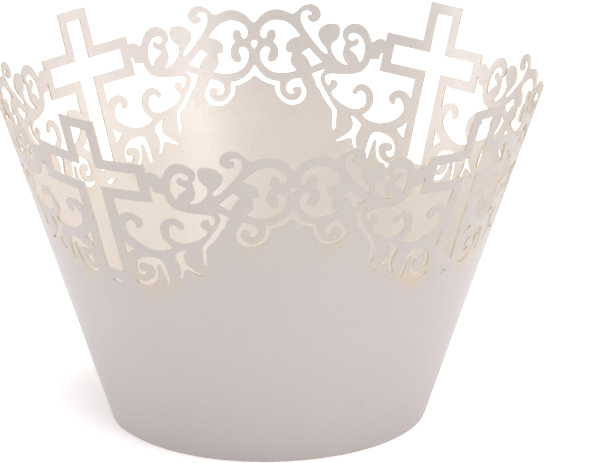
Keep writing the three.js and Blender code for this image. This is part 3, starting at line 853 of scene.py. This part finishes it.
@dataclass(frozen=True)
class PearlCard:
    """A finish of pearl card: a tinted colour with fine mica grain, a soft sheen and a painted
    shade towards the top.

    Attributes:
        name: of the material.
        wall: linear colour of the plain wall.
        lace: linear colour of the lace, darker than the wall: a painted shade, deep on the inside
            and slight on the outside.
        cloud: how far clouds in the pearl lighten it.
        painted_shade_heights: heights in the lace between which the painted shade turns the wall
            colour into the lace colour.
        scorch: strength of the tan marks that the cutting leaves.
        roughness: of the sheen.
        glitter: how far the mica flakes vary the roughness.
        grain: depth of the mica grain, from 0 to 1.
        metal: how metallic the pearl is.
        coat: strength of its clear coat.
        coat_roughness: of the clear coat.
        relief: strength of the flakes' relief.
        relief_depth: of the flakes, in metres.
        cloud_scale: clouds in a metre.
        grain_scale: grains in a metre.
        flake_scale: flakes in a metre.
        patch_scale: patches in the tan marks, in a metre.
    """

    name: str
    wall: Colour
    lace: Colour
    cloud: float
    painted_shade_heights: Span
    scorch: float
    roughness: float
    glitter: float = 0.12
    grain: float = 0.04
    metal: float = 0.25
    coat: float = 0.12
    coat_roughness: float = 0.3
    relief: float = 0.35
    relief_depth: float = 0.00003
    cloud_scale: float = 45.0
    grain_scale: float = 2600.0
    flake_scale: float = 4200.0
    patch_scale: float = 160.0

    # Each tan mark: across and up in the drawing, radius, strength.
    SPOTS = (
        (21.3, 0.0, 3.6, 1.0), (23.6, 2.2, 3.0, 0.6), (18.0, 2.2, 3.2, 0.7),
        (13.6, 5.2, 2.6, 0.5), (6.2, 11.2, 3.0, 0.7), (29.2, 2.0, 2.6, 0.45),
        (25.6, 5.6, 2.4, 0.4), (15.0, 17.0, 2.2, 0.3), (3.4, 15.6, 2.6, 0.35),
    )
    TAN = (0.56, 0.44, 0.24, 1.0)

    def build(self) -> bpy.types.Material:
        """Returns the material with its nodes."""
        material = bpy.data.materials.new(self.name)
        nodes = NodeTree(material)
        shader = nodes.tree.nodes["Principled BSDF"]
        flat = nodes.uv("Flat")
        clouds = nodes.noise(flat, self.cloud_scale, detail=3.0)
        grain = nodes.noise(flat, self.grain_scale, detail=2.0)
        flakes = nodes.node("TexVoronoi", Vector=flat, Scale=self.flake_scale)
        marked = self.scorched(nodes, nodes.tone(self.ground_with_painted_shade(nodes), clouds, self.cloud))
        nodes.feed(shader.inputs["Base Color"], nodes.tone(marked, grain, self.grain))
        sheen = (self.roughness - self.glitter, self.roughness + self.glitter)
        nodes.feed(shader.inputs["Roughness"], nodes.remap(flakes.outputs["Color"], WHOLE, sheen))
        relief = nodes.node(
            "Bump", Height=flakes.outputs["Distance"], Strength=self.relief,
            Distance=self.relief_depth,
        )
        nodes.feed(shader.inputs["Normal"], relief.outputs["Normal"])
        shader.inputs["Metallic"].default_value = self.metal
        shader.inputs["Coat Weight"].default_value = self.coat
        shader.inputs["Coat Roughness"].default_value = self.coat_roughness
        return material

    def ground_with_painted_shade(self, nodes: NodeTree) -> Socket:
        """Returns the colour of the card with a painted shade, darker from the plain wall up to
        the top of the lace.
        """
        place = nodes.node("SeparateXYZ", Vector=nodes.uv("Drawing"))
        low, high = (edge * DRAWING_UNIT for edge in self.painted_shade_heights)
        height = nodes.remap(place.outputs["Y"], (low, high), WHOLE, smooth=True)
        return nodes.ramp(height, self.wall, self.lace, WHOLE)

    def scorched(self, nodes: NodeTree, colour: Socket) -> Socket:
        """Adds the faint tan marks beside the cuts.

        Args:
            nodes: the material's nodes.
            colour: the card's colour, with its painted shade.

        Returns:
            The marked colour.
        """
        place = nodes.node("SeparateXYZ", Vector=nodes.uv("Drawing"))
        across = nodes.math("ABSOLUTE", place.outputs["X"])
        folded = nodes.node("CombineXYZ", X=across, Y=place.outputs["Y"]).outputs["Vector"]
        marks = []
        for x, y, radius, strength in self.SPOTS:
            gap = nodes.vector_math("DISTANCE", folded)
            gap.inputs[1].default_value = (x * DRAWING_UNIT, y * DRAWING_UNIT, 0)
            reach = (0.0, radius * DRAWING_UNIT)
            fade = (strength * self.scorch, 0.0)
            marks.append(nodes.remap(gap.outputs["Value"], reach, fade, smooth=True))
        total = marks[0]
        for mark in marks[1:]:
            total = nodes.math("ADD", total, mark)
        patches = nodes.noise(nodes.uv("Flat"), self.patch_scale, detail=3.0)
        return nodes.mix(nodes.math("MULTIPLY", total, patches), colour, self.TAN)


# The outside is the same pearl card as the inside, drawn darker and greyer: a painted shade.
SHADED_OUTER_PEARL = PearlCard(
    name="pearl card, outside, painted shade", wall=(0.482, 0.434, 0.427), lace=(0.480, 0.427, 0.408),
    cloud=0.015, painted_shade_heights=(-3, 14), scorch=0.8, roughness=0.45,
)
# The inside's lace colour is a painted shade: the top of the inside is drawn darker than its wall.
INNER_PEARL = PearlCard(
    name="pearl card, inside", wall=(0.815, 0.752, 0.704), lace=(0.69, 0.63, 0.60),
    cloud=0.02, painted_shade_heights=(6, 25), scorch=0.2, roughness=0.42,
)


@dataclass(frozen=True)
class CutEdge:
    """The edge of the card where it was cut by heat, a little toasted.

    Attributes:
        name: of the material.
        pale: linear colour of the card's core.
        toasted: linear colour of its darker stretches.
        stretches: darker stretches in a metre.
        blend: values of their pattern between which the colours mix.
        roughness: of the cut.
    """

    name: str = "cut edge"
    pale: Colour = (0.72, 0.64, 0.55)
    toasted: Colour = (0.56, 0.46, 0.35)
    stretches: float = 260.0
    blend: Span = (0.35, 0.65)
    roughness: float = 0.85

    def build(self) -> bpy.types.Material:
        """Returns the material with its nodes."""
        material = bpy.data.materials.new(self.name)
        nodes = NodeTree(material)
        shader = nodes.tree.nodes["Principled BSDF"]
        pattern = nodes.noise(nodes.uv("Flat"), self.stretches, detail=4.0)
        colour = nodes.ramp(pattern, self.pale, self.toasted, self.blend)
        nodes.feed(shader.inputs["Base Color"], colour)
        shader.inputs["Roughness"].default_value = self.roughness
        return material


@dataclass
class CupcakeWrapper:
    """The wrapper: the rolled strip with its finishes."""

    strip: LaceStrip

    def build(self) -> bpy.types.Object:
        """Builds the wrapper in place of its plain solid.

        Returns:
            The finished piece.
        """
        piece = self.strip.build("lace_wrapper")
        for finish in (SHADED_OUTER_PEARL, INNER_PEARL, CutEdge()):
            piece.data.materials.append(finish.build())
        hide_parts("wrapper")
        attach(piece, "root")
        log.info("%s: %d faces", piece.name, len(piece.data.polygons))
        return piece


@dataclass(frozen=True)
class Lamp:
    """A soft square lamp that faces the wrapper.

    Attributes:
        name: of the lamp.
        place: where it hangs, in metres.
        size: of its face, in metres.
        power: in watts.
        colour: of its light.
    """

    name: str
    place: Tuple[float, float, float]
    size: float
    power: float
    colour: Colour = (1.0, 1.0, 1.0)

    # Where every lamp points, in metres.
    AIM = (0.0, 0.0, 0.03)

    def hang(self) -> None:
        """Hangs the lamp and turns it to the wrapper."""
        data = bpy.data.lights.new(self.name, "AREA")
        data.size = self.size
        data.energy = self.power
        data.color = self.colour
        lamp = bpy.data.objects.new(self.name, data)
        bpy.context.scene.collection.objects.link(lamp)
        aim = Vector(self.AIM) - Vector(self.place)
        lamp.rotation_euler = aim.to_track_quat("-Z", "Y").to_euler()
        lamp.location = self.place


LAMPS = (
    Lamp("top", (0.05, -0.10, 1.00), 0.8, 7.3),
    Lamp("front", (0.60, -0.76, 0.40), 0.4, 1.7),
    Lamp("low", (-0.60, -0.80, 0.09), 0.3, 0.7),
    Lamp("left", (-1.00, 0.30, 0.10), 0.7, 4.6),
    Lamp("right", (1.00, 0.10, 0.14), 1.0, 3.9, (1.0, 0.96, 0.93)),
)


@dataclass
class Studio:
    """The floor, the light and the camera.

    Attributes:
        turn: degrees that the photograph is turned from the wrapper's own axes.
        distance: from the wrapper's axis to the camera, in metres.
        height: of the camera above the floor, in metres.
        yaw: degrees that the camera looks to the right.
        pitch: degrees that it looks down.
        roll: degrees that it leans.
        lens: focal length in millimetres on a 36 mm wide frame.
        floor_radius: of the round floor, in metres.
        floor_drop: how far the floor lies below the wrapper, in metres.
        floor_tone: how much of the light that falls on it the floor passes on.
        floor_seen: the same to the camera, so that it shows white.
        floor_glow: light that the floor gives off, as a light table does.
        room: light that falls on the wrapper from the room.
        lamps: the lamps.
    """

    turn: float = 4.39
    distance: float = 0.4908
    height: float = 0.1920
    yaw: float = 0.512
    pitch: float = 18.334
    roll: float = 0.442
    lens: float = 195.10
    floor_radius: float = 2.5
    floor_drop: float = 0.00005
    floor_tone: float = 0.92
    floor_seen: float = 1.6
    floor_glow: float = 0.36
    room: float = 0.42
    lamps: Tuple[Lamp, ...] = LAMPS

    def camera(self) -> None:
        """Sets the camera at the photograph's viewing angle."""
        yaw, pitch, roll = (math.radians(a) for a in (self.yaw, self.pitch, self.roll))
        ahead = Vector((
            math.sin(yaw) * math.cos(pitch), math.cos(yaw) * math.cos(pitch), -math.sin(pitch)
        ))
        right = Vector((math.cos(yaw), -math.sin(yaw), 0))
        above = right.cross(ahead)
        leant = right * math.cos(roll) + above * math.sin(roll)
        top = above * math.cos(roll) - right * math.sin(roll)
        pose = Matrix((leant, top, -ahead)).transposed().to_4x4()
        pose.translation = (0, -self.distance, self.height)
        data = bpy.data.cameras.new("camera")
        data.sensor_width = 36.0
        data.lens = self.lens
        data.clip_start = 0.01
        data.clip_end = 20.0
        camera = bpy.data.objects.new("camera", data)
        bpy.context.scene.collection.objects.link(camera)
        camera.matrix_world = Matrix.Rotation(-math.radians(self.turn), 4, "Z") @ pose
        bpy.context.scene.camera = camera

    def floor(self) -> None:
        """Lays the pale floor, which shows white to the camera and keeps the shadow."""
        bm = bmesh.new()
        bmesh.ops.create_circle(bm, cap_ends=True, segments=96, radius=self.floor_radius)
        bmesh.ops.translate(bm, verts=bm.verts[:], vec=(0, 0, -self.floor_drop))
        mesh = bpy.data.meshes.new("floor")
        bm.to_mesh(mesh)
        bm.free()
        floor = bpy.data.objects.new("floor", mesh)
        bpy.context.scene.collection.objects.link(floor)
        mesh.materials.append(self.floor_material())

    def floor_material(self) -> bpy.types.Material:
        """Returns the floor's material, lighter to the camera than to the wrapper."""
        material = bpy.data.materials.new("floor white")
        nodes = NodeTree(material)
        shader = nodes.tree.nodes["Principled BSDF"]
        seen = nodes.node("LightPath").outputs["Is Camera Ray"]
        tones = [(tone, tone, tone, 1.0) for tone in (self.floor_tone, self.floor_seen)]
        nodes.feed(shader.inputs["Base Color"], nodes.mix(seen, *tones))
        glow = nodes.remap(seen, WHOLE, (self.floor_glow, 0.0))
        nodes.feed(shader.inputs["Emission Strength"], glow)
        shader.inputs["Emission Color"].default_value = WHITE
        shader.inputs["Roughness"].default_value = 1.0
        shader.inputs["Specular IOR Level"].default_value = 0.0
        return material

    def world(self) -> None:
        """Fills the room with even light and shows it white to the camera."""
        world = bpy.data.worlds.new("room")
        nodes = NodeTree(world)
        bpy.context.scene.world = world
        background = nodes.tree.nodes["Background"]
        background.inputs["Color"].default_value = WHITE
        seen = nodes.node("LightPath").outputs["Is Camera Ray"]
        nodes.feed(background.inputs["Strength"], nodes.remap(seen, WHOLE, (self.room, 1.0)))

    def build(self) -> None:
        """Sets up the floor, the light and the camera."""
        self.floor()
        self.world()
        for lamp in self.lamps:
            lamp.hang()
        self.camera()
        bpy.context.scene.view_settings.view_transform = "Standard"


def main() -> None:
    """Builds the wrapper and its studio."""
    logging.basicConfig(level=logging.INFO, format="%(name)s: %(message)s")
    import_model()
    cone = Cone()
    wrapper = CupcakeWrapper(LaceStrip(cone, LaceDrawing(cone)))
    wrapper.build()
    Studio().build()


if __name__ == "__main__":
    main()
